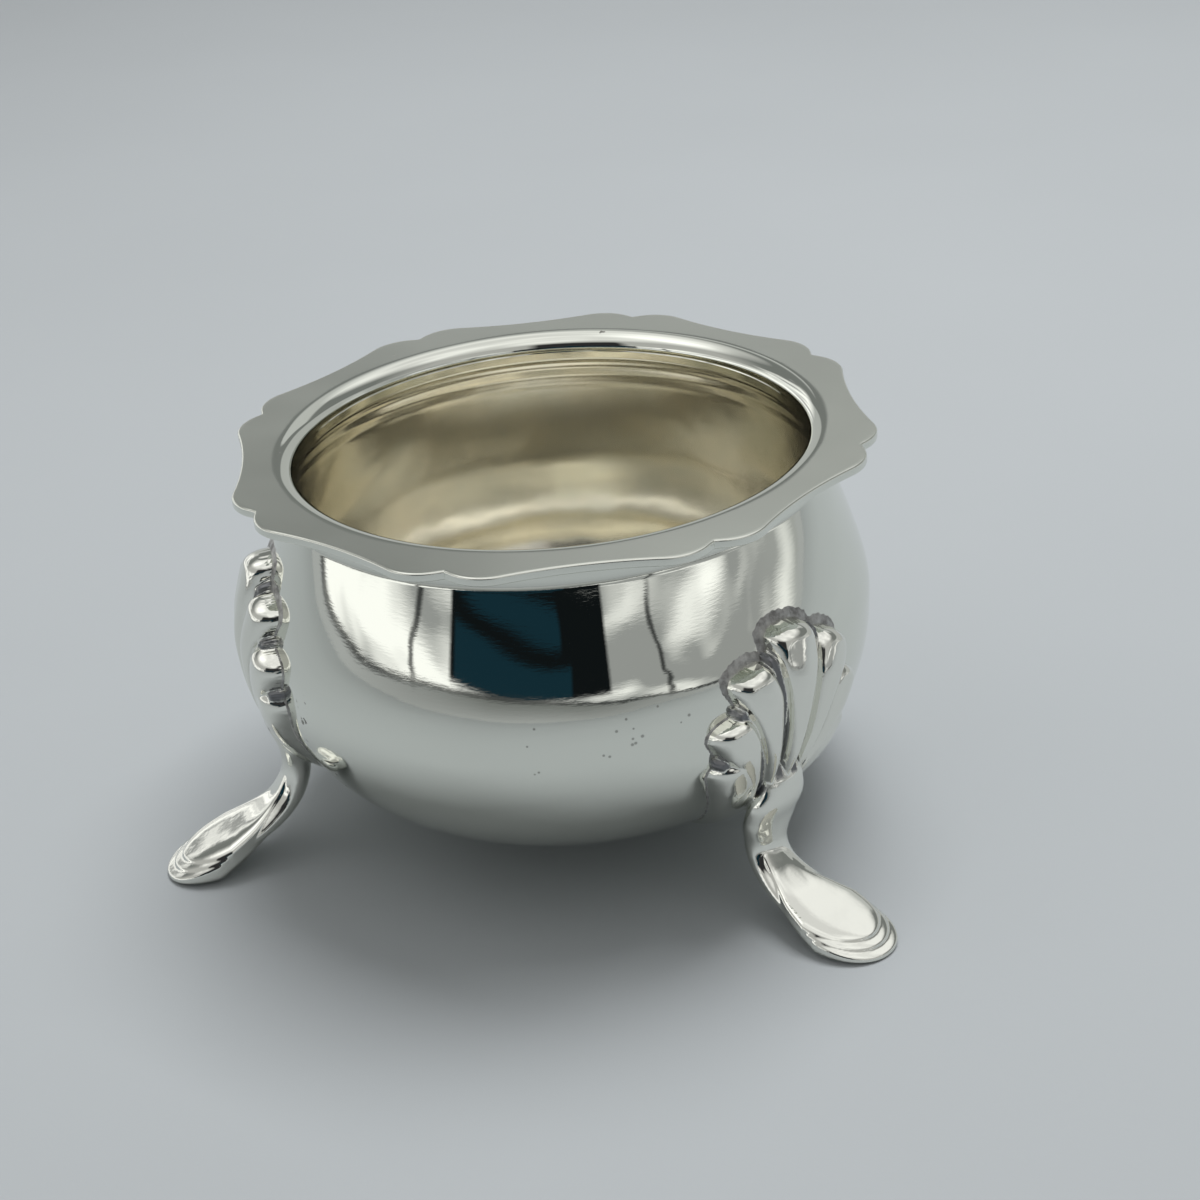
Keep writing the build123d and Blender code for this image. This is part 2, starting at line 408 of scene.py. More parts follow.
@dataclass(frozen=True)
class TableSheet:
    """Smooth pale grey card."""

    pale: tuple = (0.49, 0.52, 0.54)

    def make(self) -> bpy.types.Material:
        """Build the material of the table."""
        sheet = FinishSheet("pale_card")
        card = sheet.add("ShaderNodeBsdfPrincipled")
        card.inputs["Roughness"].default_value = 0.75
        card.inputs["Specular IOR Level"].default_value = 0.2
        mottle = sheet.spread(sheet.noise(9.0, 3.0, 0.5), (0.3, 0.7), (0.0, 1.0))
        darker = tuple(0.965 * part for part in self.pale)
        sheet.join(sheet.blend_colours(mottle, darker, self.pale), card.inputs["Base Color"])
        sheet.join(sheet.bump(sheet.noise(2500.0, 2.0, 0.5), 0.00002, 0.3), card.inputs["Normal"])
        sheet.join(card.outputs["BSDF"], sheet.output.inputs["Surface"])
        return sheet.material


# ---- the bowl --------------------------------------------------------------------------------


@dataclass
class Bowl:
    """Raised bowl with its neck and shaped rim. Sizes are in millimetres."""

    height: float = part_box("bowl")[1][2] / MM
    base_height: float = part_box("bowl")[0][2] / MM
    notch_radius: float = 31.0
    lobe_radius: float = 32.2
    hollow_radius: float = 30.4
    bays: int = 8
    lobe_angle: float = 6.0
    notch_round: float = 0.35
    neck_bead: float = 0.7
    edge_round: float = 0.22
    wall: float = 0.9
    mouth_radius: float = 26.0
    lip_round: float = 1.8
    neck_depth: float = 3.6
    belly_radius: float = 31.2
    belly_height: float = 23.6
    fullness: float = 2.45
    softness: float = 0.22

    def body_radius(self, height: float, grow: float = 0.0) -> float:
        """Radius of the body at a height.

        Args:
            height: Height above the table.
            grow: How far the surface is moved out.

        Returns:
            The radius.
        """
        belly = self.belly_radius + grow
        if height >= self.belly_height:
            neck_height = self.height - self.neck_depth
            rise = (height - self.belly_height) / (neck_height - self.belly_height)
            soft = self.softness
            draw = (math.hypot(rise, soft) - soft) / (math.hypot(1.0, soft) - soft)
            return belly - (self.belly_radius - self.mouth_radius - self.wall) * draw
        drop = (self.belly_height - height) / (self.belly_height - self.base_height + grow)
        return belly * (1.0 - min(drop, 1.0) ** self.fullness) ** (1.0 / self.fullness)

    def rim_radius(self, angle: np.ndarray) -> np.ndarray:
        """Radius of the shaped rim.

        Args:
            angle: Angles in radians.

        Returns:
            The rim's radius at each angle.
        """
        bay = 2.0 * math.pi / self.bays
        near = np.abs((angle + bay / 2.0) % bay - bay / 2.0)
        lobe_at = math.radians(self.lobe_angle)
        notch, lobe, hollow = self.notch_radius, self.lobe_radius, self.hollow_radius
        reach = 2.0 * lobe - 2.0 * notch * math.cos(lobe_at)
        lobe_round = (notch**2 + lobe**2 - 2.0 * notch * lobe * math.cos(lobe_at)) / reach
        lobe_centre = lobe - lobe_round
        far = math.cos(bay / 2.0 - lobe_at)
        spread = lobe_round**2 - lobe_centre**2 - hollow**2 + 2.0 * hollow * lobe_centre * far
        hollow_round = spread / (2.0 * hollow - 2.0 * lobe_centre * far - 2.0 * lobe_round)
        hollow_centre = hollow + hollow_round
        swing = near - lobe_at
        side = np.clip(lobe_round**2 - (lobe_centre * np.sin(swing)) ** 2, 0.0, None)
        on_lobe = lobe_centre * np.cos(swing) + np.sqrt(side)
        swing = bay / 2.0 - near
        side = np.clip(hollow_round**2 - (hollow_centre * np.sin(swing)) ** 2, 0.0, None)
        on_hollow = hollow_centre * np.cos(swing) - np.sqrt(side)
        share = lobe_round / (lobe_round + hollow_round)
        join_x = lobe_centre * math.cos(lobe_at) * (1 - share) + hollow_centre * math.cos(bay / 2) * share
        join_y = lobe_centre * math.sin(lobe_at) * (1 - share) + hollow_centre * math.sin(bay / 2) * share
        radius = np.where(near < math.atan2(join_y, join_x), on_lobe, on_hollow)
        bottom = self.notch_round * 0.35 * np.exp(-((near * notch / self.notch_round) ** 2) * 1.6)
        return radius + bottom

    def profile(self) -> tuple[np.ndarray, np.ndarray, np.ndarray, np.ndarray]:
        """Closed profile from the rim's edge over the lip, inside, and back outside.

        Returns:
            Radii, heights, how much of the rim's shape each point follows, and gilding.
        """
        rows: list[tuple[float, float, float, float]] = []
        top, lip = self.height, self.lip_round
        start = self.mouth_radius + lip
        inside = self.mouth_radius - self.neck_bead
        reach = self.lobe_radius
        edge = self.edge_round
        for turn in np.linspace(0.0, 90.0, 7):
            out = edge * math.cos(math.radians(turn))
            rows.append((reach - edge + out, top - edge + edge * math.sin(math.radians(turn)), 1.0, 0.0))
        for share in np.linspace(0.0, 1.0, 16)[1:]:
            rows.append((reach - edge + (inside + lip - reach + edge) * share, top, 1.0 - share, 0.0))
        for turn in np.linspace(90.0, 180.0, 22)[1:]:
            angle = math.radians(turn)
            rows.append((inside + lip + lip * math.cos(angle), top - lip + lip * math.sin(angle), 0.0, 0.0))
        neck = top - self.neck_depth
        for height in np.linspace(top - lip, neck + 0.1, 16)[1:]:
            swell = self.neck_bead * (1.0 - float(smooth_step(neck + 0.9, neck + 0.1, height)))
            rows.append((self.mouth_radius - swell + self.turned_line(height), height, 0.0, 1.0))
        for height in np.concatenate([np.linspace(neck - 0.1, neck - 4.0, 36), np.linspace(neck - 4.3, self.belly_height, 32)]):
            rows.append((self.body_radius(height, -self.wall) + self.turned_line(height), height, 0.0, 1.0))
        rows += self.lower_rows(-self.wall, 1.0)
        outer = self.lower_rows(0.0, 0.0)[::-1]
        rows += outer
        for height in np.linspace(self.belly_height, neck - 0.3, 50):
            rows.append((self.body_radius(height), height, 0.0, 0.0))
        under = lip - self.wall
        for height in np.linspace(neck + 0.3, top - lip, 7):
            rows.append((self.mouth_radius + self.wall, height, 0.0, 0.0))
        for turn in np.linspace(180.0, 90.0, 12)[1:]:
            angle = math.radians(turn)
            rows.append((start + under * math.cos(angle), top - lip + under * math.sin(angle), 0.0, 0.0))
        for share in np.linspace(0.0, 1.0, 14)[1:]:
            rows.append((start + (reach - edge - start) * share, top - self.wall, share, 0.0))
        for turn in np.linspace(-90.0, 0.0, 7)[1:]:
            out = edge * math.cos(math.radians(turn))
            rows.append((reach - edge + out, top - self.wall + edge + edge * math.sin(math.radians(turn)), 1.0, 0.0))
        table = np.array(rows)
        return table[:, 0], table[:, 1], table[:, 2], table[:, 3]

    def turned_line(self, height: float) -> float:
        """Shallow lines left by burnishing round the inside of the neck."""
        lines = ((38.3, 0.30, -0.05), (37.4, 0.32, 0.07), (36.5, 0.35, -0.05), (35.3, 0.45, 0.04))
        return sum(depth * math.exp(-(((height - place) / width) ** 2)) for place, width, depth in lines)

    def lower_rows(self, grow: float, gilding: float) -> list[tuple[float, float, float, float]]:
        """Profile of the lower body, from the belly down to the pole.

        Args:
            grow: How far the surface is moved out.
            gilding: Gilding of these points.

        Returns:
            Profile rows, without the belly's own.
        """
        rows = []
        depth = self.belly_height - self.base_height + grow
        for turn in np.linspace(0.0, 90.0, 60)[1:]:
            angle = math.radians(turn)
            across = max(math.cos(angle), 0.0) ** (2.0 / self.fullness)
            down = math.sin(angle) ** (2.0 / self.fullness)
            radius = max((self.belly_radius + grow) * across, 0.02)
            rows.append((radius, self.belly_height - depth * down, 0.0, gilding))
        return rows

    def build(self, finish: bpy.types.Material) -> bpy.types.Object:
        """Make the bowl and put it in place.

        Args:
            finish: Material of the whole bowl.

        Returns:
            The bowl.
        """
        half = np.linspace(0.0, 1.0, 45) ** 1.35 / 2.0
        bay_shares = np.concatenate([half, 1.0 - half[1:-1][::-1]])
        angles = np.concatenate([(bay + bay_shares) / self.bays for bay in range(self.bays)]) * 2.0 * math.pi
        radii, heights, follow, gilding = self.profile()
        shape = self.rim_radius(angles)[None, :]
        start = self.mouth_radius + self.lip_round
        scale = (shape - start) / (self.lobe_radius - start)
        grid_r = np.where(follow[:, None] > 0.0, start + (radii[:, None] - start) * scale, radii[:, None])
        edge_zone = follow[:, None] == 1.0
        grid_r = np.where(edge_zone, shape - (self.lobe_radius - radii[:, None]), grid_r)
        rows, columns = grid_r.shape
        grid_z = np.repeat(heights[:, None], columns, axis=1)
        points = np.stack([grid_r * np.cos(angles), grid_r * np.sin(angles), grid_z], axis=2).reshape(-1, 3)
        faces = []
        for row in range(rows):
            after = (row + 1) % rows
            for column in range(columns):
                beside = (column + 1) % columns
                faces.append((row * columns + column, after * columns + column, after * columns + beside, row * columns + beside))
        piece = add_mesh("silver_bowl", points, self.close_poles(faces, heights, columns, gilding))
        turn_outward(piece)
        set_point_values(piece, "gilding", np.repeat(self.gilding_fade(heights, gilding), columns))
        set_point_values(piece, "satin", np.repeat((follow > 0.0).astype(float), columns))
        piece.data.materials.append(finish)
        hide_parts("bowl")
        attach(piece, "root")
        LOG.info("bowl: %d corners", len(piece.data.vertices))
        return piece

    def close_poles(self, faces: list, heights: np.ndarray, columns: int, gilding: np.ndarray) -> list:
        """Swap the ring that would join the two poles for a flat disc on each.

        Args:
            faces: Faces of all the rings.
            heights: Height of each profile point; not used.
            columns: Corners in a ring.
            gilding: Gilding of each profile point, which ends at the inner pole.

        Returns:
            Faces of a closed skin.
        """
        inner = int(np.max(np.nonzero(gilding)))
        kept = faces[: inner * columns] + faces[(inner + 1) * columns :]
        kept.append(tuple(inner * columns + column for column in range(columns)))
        kept.append(tuple((inner + 1) * columns + column for column in reversed(range(columns))))
        return kept

    def gilding_fade(self, heights: np.ndarray, gilding: np.ndarray) -> np.ndarray:
        """Thin the gilding out towards the lip, where it has worn away."""
        neck = self.height - self.neck_depth
        return gilding * (1.0 - 0.55 * smooth_step(neck - 1.0, self.height - self.lip_round, heights))


# ---- legs and solder -------------------------------------------------------------------------


@dataclass
class Flute:
    """One flute of a shell, on the bowl's surface. Sizes are in millimetres."""

    root: tuple
    bend: tuple
    tip: tuple
    half_width: float
    height: float
    slim: float = 1.0
    blunt: float = 1.0

    def mirrored(self) -> "Flute":
        """The same flute on the other side of the shell."""
        flip = [(-side, height) for side, height in (self.root, self.bend, self.tip)]
        return replace(self, root=flip[0], bend=flip[1], tip=flip[2])

    def place(self, share: np.ndarray) -> np.ndarray:
        """Sideways place and height at shares of the flute's length."""
        share = np.asarray(share, dtype=float)[..., None]
        root, bend, tip = (np.array(point, dtype=float) for point in (self.root, self.bend, self.tip))
        return (1 - share) ** 2 * root + 2 * share * (1 - share) * bend + share**2 * tip

    def width_at(self, share: np.ndarray) -> np.ndarray:
        """Half width at shares of the flute's length."""
        shares = (0.0, 0.12, 0.25, 0.47, 0.61, 0.73, 0.86, 1.0)
        widths = np.interp(share, shares, (0.16, 0.15, 0.19, 0.37, 0.52, 0.68, 0.88, 1.0))
        return self.half_width * widths**self.slim

    def relief(self, side: np.ndarray, height: np.ndarray) -> tuple[np.ndarray, np.ndarray]:
        """Shape of the flute: flat-crowned, with rounded edges and a blunt end.

        Args:
            side: Sideways places.
            height: Heights of the same places.

        Returns:
            How far inside the flute's outline each place lies, and how high the flute is there.
        """
        shares = np.linspace(0.0, 1.0, 90)
        line = self.place(shares)
        gaps = np.hypot(side[..., None] - line[:, 0], height[..., None] - line[:, 1])
        nearest = gaps.argmin(axis=-1)
        way = (line[-1] - line[-2]) / np.linalg.norm(line[-1] - line[-2])
        beyond = (side - line[-1, 0]) * way[0] + (height - line[-1, 1]) * way[1]
        aside = np.abs((side - line[-1, 0]) * way[1] - (height - line[-1, 1]) * way[0])
        across = np.where(nearest == len(shares) - 1, aside, gaps.min(axis=-1))
        width = self.width_at(shares[nearest])
        at_side = width - across
        at_end = self.blunt * (1.0 - 0.55 * np.minimum(across / width, 1.2) ** 2) - beyond
        share = np.clip(0.5 + 0.5 * (at_end - at_side) / 1.1, 0.0, 1.0)
        inside = at_end * (1.0 - share) + at_side * share - 1.1 * share * (1.0 - share)
        end_share = smooth_step(-2.2, -0.2, beyond)
        round_edge = np.minimum(0.5 + 0.45 * end_share, 0.9 * width)
        edge = np.sqrt(1.0 - (1.0 - np.clip(inside / round_edge, 0.0, 1.0)) ** 2)
        crown = 0.30 * np.clip(1.0 - (across / width) ** 2, 0.0, 1.0)
        rise = np.interp(shares[nearest], (0, 0.2, 0.42, 0.64, 0.82, 1), (0.74, 0.80, 0.86, 0.93, 1.0, 0.98))
        return inside, self.height * rise * (0.72 * edge + crown)


@dataclass
class Leg:
    """Cast leg: shell, ankle and stepped foot, made pointing along +X. Millimetres."""

    place: Place
    bowl: Bowl
    sink: float = 0.0
    lean: float = 0.0
    toe_turn: float = 0.0
    knee_height: float = 22.0
    toe_reach: float = 44.4
    foot_half_width: float = 4.2
    ankle_radius: float = 29.6
    ankle_height: float = 10.8
    ankle_half_width: float = 2.6
    ankle_half_thickness: float = 1.5
    toe_thickness: float = 1.2
    film: float = 0.2
    shell_grid: float = 0.1
    voxel: float = 0.1
    flutes: list = field(default_factory=list)

    def __post_init__(self) -> None:
        """Lay out the seven flutes of the shell, leant and sunk as the leg is set."""
        centre = Flute((0.0, 13.0), (0.0, 23.0), (0.0, 32.0), 2.7, 2.5)
        sides = [
            Flute((1.0, 13.0), (2.3, 21.3), (5.2, 29.5), 2.35, 2.3),
            Flute((1.6, 12.5), (3.6, 17.9), (7.3, 25.1), 2.2, 2.05),
            Flute((1.1, 10.0), (3.7, 14.0), (6.5, 20.9), 2.1, 1.9, 0.3),
        ]
        self.flutes = [self.settled(flute) for flute in [centre] + sides + [side.mirrored() for side in sides]]

    def swing(self, height: float) -> float:
        """Sideways shift of the leaning leg at a height."""
        return math.tan(math.radians(self.lean)) * (height - self.knee_height)

    def sunk(self, height: float) -> float:
        """Height once the leg is set lower: its shell moves down, its ankle shortens."""
        return height - self.sink * min(height / self.ankle_height, 1.0)

    def settled(self, flute: Flute) -> Flute:
        """The flute where the leaning, sunk leg carries it."""
        places = [(side + self.swing(height), self.sunk(height)) for side, height in (flute.root, flute.bend, flute.tip)]
        return replace(flute, root=places[0], bend=places[1], tip=places[2])

    def ring(self, centre: np.ndarray, across: np.ndarray, lift: np.ndarray, size: tuple, power: float, count: int) -> np.ndarray:
        """Rounded section ring.

        Args:
            centre: Middle of the section.
            across: Unit vector along its width.
            lift: Unit vector along its height.
            size: Half width and half height.
            power: 2 for an ellipse, more for flatter sides.
            count: Points of the ring.

        Returns:
            The ring's points.
        """
        turn = np.linspace(0.0, 2.0 * math.pi, count, endpoint=False)
        wide = np.sign(np.cos(turn)) * np.abs(np.cos(turn)) ** (2.0 / power)
        high = np.sign(np.sin(turn)) * np.abs(np.sin(turn)) ** (2.0 / power)
        return centre + np.outer(wide * size[0], across) + np.outer(high * size[1], lift)

    def tube(self, name: str, rings: list[np.ndarray]) -> tuple[np.ndarray, list]:
        """Closed skin over a row of rings.

        Args:
            name: Word for the log.
            rings: Rings with the same number of points.

        Returns:
            Points and faces.
        """
        count = len(rings[0])
        faces = []
        for row in range(len(rings) - 1):
            for column in range(count):
                beside = (column + 1) % count
                low, high = row * count, (row + 1) * count
                faces.append((low + column, low + beside, high + beside, high + column))
        faces.append(tuple(reversed(range(count))))
        faces.append(tuple(range((len(rings) - 1) * count, len(rings) * count)))
        LOG.debug("%s: %d rings", name, len(rings))
        return np.concatenate(rings), faces

    def surface_point(self, side: float, height: float) -> np.ndarray:
        """Point on the bowl at a sideways place and height."""
        radius = self.bowl.body_radius(height, self.film)
        return np.array([math.sqrt(max(radius**2 - side**2, 0.0)), side, height])

    def keep_outside(self, ring: np.ndarray) -> np.ndarray:
        """Hold a ring's points just under the bowl's outer skin, clear of its inside."""
        limit = np.array([self.bowl.body_radius(height, -0.35) for height in ring[:, 2]])
        radius = np.hypot(ring[:, 0], ring[:, 1])
        out = np.where(radius < limit, limit / radius, 1.0)
        return ring * np.stack([out, out, np.ones_like(out)], axis=1)

    def shell_relief(self, side: np.ndarray, height: np.ndarray) -> tuple[np.ndarray, np.ndarray]:
        """Shape of the whole shell, its flutes parted by flat-bottomed grooves.

        Args:
            side: Sideways places.
            height: Heights of the same places.

        Returns:
            How far inside the shell's outline each place lies, and how high the shell is there.
        """
        both = [flute.relief(side, height) for flute in self.flutes]
        inside = np.sort(np.stack([one[0] for one in both]), axis=0)
        relief = np.stack([one[1] for one in both]).max(axis=0)
        between = smooth_step(-1.0, -0.6, inside[-2]) * smooth_step(-0.7, -0.4, inside[-1])
        web = 0.45 * self.flutes[0].height * between
        relief = np.where(inside[-1] > 0.0, relief, -0.3)
        return inside[-1], np.maximum(relief, np.where(web > 0.05, web, -0.3))

    def groove_at(self, points: np.ndarray) -> np.ndarray:
        """How much each point lies in a groove between two flutes, from 0 to 1.

        Args:
            points: Corners of the leg in millimetres, before it is turned to its place.

        Returns:
            One value for each corner.
        """
        step = self.shell_grid
        sides = np.arange(-11.0, 11.0 + step, step)
        heights = np.arange(7.6, 35.2, step) - self.sink
        side, height = np.meshgrid(sides, heights)
        both = [flute.relief(side, height) for flute in self.flutes]
        inside = np.sort(np.stack([one[0] for one in both]), axis=0)
        dark = smooth_step(0.12, -0.05, inside[-1]) * smooth_step(-1.1, -0.8, inside[-2])
        column = np.clip(np.rint((points[:, 1] - sides[0]) / step).astype(int), 0, len(sides) - 1)
        row = np.clip(np.rint((points[:, 2] - heights[0]) / step).astype(int), 0, len(heights) - 1)
        radius = np.array([self.bowl.body_radius(one) for one in heights])[row]
        proud = np.hypot(points[:, 0], points[:, 1]) - radius
        near = smooth_step(2.6, 2.0, proud) * smooth_step(9.0, 10.5, points[:, 2] + self.sink)
        return dark[row, column] * near

    def shell_skin(self) -> tuple[np.ndarray, list]:
        """Closed skin of the shell, laid on the bowl."""
        step = self.shell_grid
        sides = np.arange(-11.0, 11.0 + step, step)
        heights = np.arange(7.6, 35.2, step) - self.sink
        side, height = np.meshgrid(sides, heights)
        inside, relief = self.shell_relief(side, height)
        keep = relief > -0.25
        keep |= inside > -0.12
        radius = np.array([self.bowl.body_radius(one) for one in heights])[:, None]
        layers = []
        for reach in (radius + self.film + relief, radius + np.full(side.shape, -0.34)):
            out = np.sqrt(np.clip(reach**2 - side**2, 0.0, None))
            layers.append(np.stack([out, side, height], axis=2).reshape(-1, 3))
        return grid_skin(layers, keep)

    def shank_skin(self) -> tuple[np.ndarray, list]:
        """Skin of the ankle, from inside the shell down to the instep."""
        stations = (
            (0.05, 1.90, 0.85, 0.45, 14.0),
            (0.92, 1.60, 0.95, 0.80, 14.0),
            (0.62, 1.40, 1.24, 1.08, 12.0),
            (0.18, 1.20, 1.26, 1.02, 6.0),
            (0.00, 1.00, 1.00, 1.00, 0.0),
            (0.22, 0.81, 0.94, 0.97, -20.0),
            (0.95, 0.62, 0.97, 0.92, -43.0),
            (2.35, 0.455, 1.14, 0.85, -57.0),
            (4.20, 0.32, 1.32, 0.70, -63.0),
        )
        keys = np.linspace(0.0, 1.0, len(stations))
        table = np.array(stations)
        rings = []
        for share in np.linspace(0.0, 1.0, 49):
            outward, height, width, thick, lean = (smooth_line(keys, table[:, k], share) for k in range(5))
            height *= self.ankle_height
            side = self.swing(height) + self.toe_shift(outward * self.ankle_half_thickness)
            centre = np.array([self.ankle_radius + outward * self.ankle_half_thickness, side, self.sunk(height)])
            angle = math.radians(lean)
            along = np.array([math.sin(angle), 0.0, math.cos(angle)])
            across = np.array([0.0, 1.0, 0.0])
            size = (self.ankle_half_width * width, self.ankle_half_thickness * thick)
            rings.append(self.keep_outside(self.ring(centre, across, np.cross(along, across), size, 2.2, 48)))
        return self.tube("shank", rings)

    def toe_shift(self, outward: float) -> float:
        """Sideways shift of the foot, which turns as it goes outward."""
        return math.tan(math.radians(self.toe_turn)) * max(outward, 0.0)

    def foot_line(self, share: float) -> tuple[float, float]:
        """Heights of the foot's top and underside at a share of its length."""
        ankle = self.ankle_height - self.sink
        top = self.toe_thickness + (ankle - self.toe_thickness) * smooth_line(
            (0.0, 0.10, 0.23, 0.44, 0.75, 1.0), (0.86, 0.65, 0.49, 0.335, 0.16, 0.0), share)
        under = ankle * smooth_line(
            (-0.13, 0.0, 0.10, 0.29, 0.47, 0.64, 1.0), (0.667, 0.47, 0.38, 0.22, 0.093, 0.0, 0.0), share)
        return top, max(under, 0.0)

    def foot_skin(self, step: int) -> tuple[np.ndarray, list]:
        """Skin of one layer of the foot.

        Args:
            step: 0 for the lowest layer, which reaches furthest, up to 2.

        Returns:
            Points and faces.
        """
        start = self.ankle_radius + self.ankle_half_thickness
        length = self.toe_reach - start
        tip = self.toe_reach - 0.9 * step
        corner = start + 0.60 * length - 0.75 * step
        drop = (2 - step) * 0.34
        rings = []
        for share in np.concatenate([np.linspace(0.0, 0.62, 24), 0.62 + 0.38 * np.sin(np.linspace(0.0, math.pi / 2, 22)[1:])]):
            x = start + (tip - start) * share
            if x <= corner:
                wide = smooth_line((0.0, 0.22, 0.6, 1.0), (0.38, 0.47, 0.78, 1.0), (x - start) / (corner - start))
            else:
                wide = max(1.0 - ((x - corner) / (tip - corner)) ** 2.3, 0.0) ** (1 / 2.1)
            top, under = self.foot_line((x - start) / length)
            top -= drop
            ring = self.foot_ring(x, max(wide * self.foot_half_width - 0.1 * step, 0.05), top, under)
            ring[:, 1] += self.swing(top / 2) + self.toe_shift(x - self.ankle_radius)
            rings.append(ring)
        return self.tube("foot", rings)

    def foot_ring(self, x: float, half: float, top: float, under: float) -> np.ndarray:
        """Ring across the foot: nearly flat on top, rounded at the sides and below."""
        middle = (top + under) / 2
        deep = max(top - under, 0.1) / 2
        ring = self.ring(np.array([x, 0.0, middle]), np.array([0.0, 1.0, 0.0]), np.array([0.0, 0.0, 1.0]), (half, deep), 4.5, 56)
        below = np.clip((middle - ring[:, 2]) / deep, 0.0, 1.0)
        ring[:, 1] *= 1.0 - 0.16 * below**2
        return ring

    def join_skins(self) -> bpy.types.Object:
        """One casting from all its overlapping skins, softened as polishing does."""
        skins = [self.shell_skin(), self.shank_skin()]
        skins += [self.foot_skin(step) for step in range(3)]
        points, faces, offset = [], [], 0
        for skin_points, skin_faces in skins:
            points.append(skin_points)
            faces += [tuple(corner + offset for corner in face) for face in skin_faces]
            offset += len(skin_points)
        piece = add_mesh(f"cast_leg_{self.place.label}", np.concatenate(points), faces)
        turn_outward(piece)
        remesh = piece.modifiers.new("cast", "REMESH")
        remesh.mode = "VOXEL"
        remesh.voxel_size = self.voxel * MM
        remesh.use_smooth_shade = True
        soften = piece.modifiers.new("polish", "SMOOTH")
        soften.factor = 0.5
        soften.iterations = 4
        return piece

    def build(self, finish: bpy.types.Material) -> bpy.types.Object:
        """Make the leg, turn it to its place and store how deep its grooves lie.

        Args:
            finish: Material of the leg.

        Returns:
            The leg.
        """
        rough = self.join_skins()
        final = bpy.data.meshes.new_from_object(rough.evaluated_get(bpy.context.evaluated_depsgraph_get()))
        name = rough.name
        bpy.data.objects.remove(rough)
        points = np.empty(len(final.vertices) * 3)
        final.vertices.foreach_get("co", points)
        groove = np.maximum(groove_depth(final), self.groove_at(points.reshape(-1, 3) / MM))
        final.transform(Matrix.Rotation(math.radians(self.place.value), 4, "Z"))
        final.shade_smooth()
        piece = bpy.data.objects.new(name, final)
        bpy.context.scene.collection.objects.link(piece)
        set_point_values(piece, "groove", groove)
        piece.data.materials.clear()
        piece.data.materials.append(finish)
        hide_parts(f"leg_{self.place.label}")
        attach(piece, "root")
        LOG.info("%s: %d corners", name, len(final.vertices))
        return piece


def smooth_line(keys: object, values: object, share: float) -> float:
    """Smooth curve through given values, without overshoot.

    Args:
        keys: Rising places of the values.
        values: Values at these places.
        share: Place asked for.

    Returns:
        The value there.
    """
    keys = np.asarray(keys, dtype=float)
    values = np.asarray(values, dtype=float)
    steps = np.diff(values) / np.diff(keys)
    slopes = np.concatenate([[steps[0]], (steps[1:] + steps[:-1]) / 2, [steps[-1]]])
    slopes[1:-1][steps[1:] * steps[:-1] <= 0] = 0.0
    index = int(np.clip(np.searchsorted(keys, share) - 1, 0, len(keys) - 2))
    width = keys[index + 1] - keys[index]
    t = float(np.clip((share - keys[index]) / width, 0.0, 1.0))
    low, high = values[index], values[index + 1]
    first = (2 * t**3 - 3 * t**2 + 1) * low + (t**3 - 2 * t**2 + t) * width * slopes[index]
    return float(first + (-2 * t**3 + 3 * t**2) * high + (t**3 - t**2) * width * slopes[index + 1])


def grid_skin(layers: list[np.ndarray], keep: np.ndarray) -> tuple[np.ndarray, list]:
    """Closed skin between two layers of grid points, over the cells that are kept.

    Args:
        layers: Upper and lower points, row by row.
        keep: Which grid points belong, as rows and columns.

    Returns:
        Points and faces, without loose points.
    """
    rows, columns = keep.shape
    top = np.arange(rows * columns).reshape(rows, columns)
    cell = keep[:-1, :-1] & keep[1:, :-1] & keep[:-1, 1:] & keep[1:, 1:]
    corners = [top[:-1, :-1], top[:-1, 1:], top[1:, 1:], top[1:, :-1]]
    framed = np.pad(cell, 1)
    beside = [framed[:-2, 1:-1], framed[1:-1, 2:], framed[2:, 1:-1], framed[1:-1, :-2]]
    below = rows * columns
    quads = [np.stack([one[cell] for one in corners], axis=1)]
    quads.append(quads[0][:, ::-1] + below)
    for turn in range(4):
        edge = cell & ~beside[turn]
        first, second = corners[turn][edge], corners[(turn + 1) % 4][edge]
        quads.append(np.stack([second, first, first + below, second + below], axis=1))
    faces = np.concatenate(quads)
    used, faces = np.unique(faces, return_inverse=True)
    return np.concatenate(layers)[used], [tuple(face) for face in faces.reshape(-1, 4).tolist()]


def groove_depth(mesh: bpy.types.Mesh) -> np.ndarray:
    """How hollow the surface is at each corner, from 0 to 1.

    Args:
        mesh: Finely and evenly divided mesh.

    Returns:
        One value for each corner.
    """
    count = len(mesh.vertices)
    points = np.empty(count * 3)
    normals = np.empty(count * 3)
    mesh.vertices.foreach_get("co", points)
    mesh.vertices.foreach_get("normal", normals)
    points, normals = points.reshape(-1, 3), normals.reshape(-1, 3)
    ends = np.empty(len(mesh.edges) * 2, dtype=np.int64)
    mesh.edges.foreach_get("vertices", ends)
    ends = ends.reshape(-1, 2)
    degree = np.bincount(ends.ravel(), minlength=count).clip(1)
    blurred = points.copy()
    for _ in range(14):
        total = np.zeros_like(blurred)
        np.add.at(total, ends[:, 0], blurred[ends[:, 1]])
        np.add.at(total, ends[:, 1], blurred[ends[:, 0]])
        blurred = total / degree[:, None]
    depth = np.einsum("ij,ij->i", blurred - points, normals) / MM
    return smooth_step(0.03, 0.22, depth)


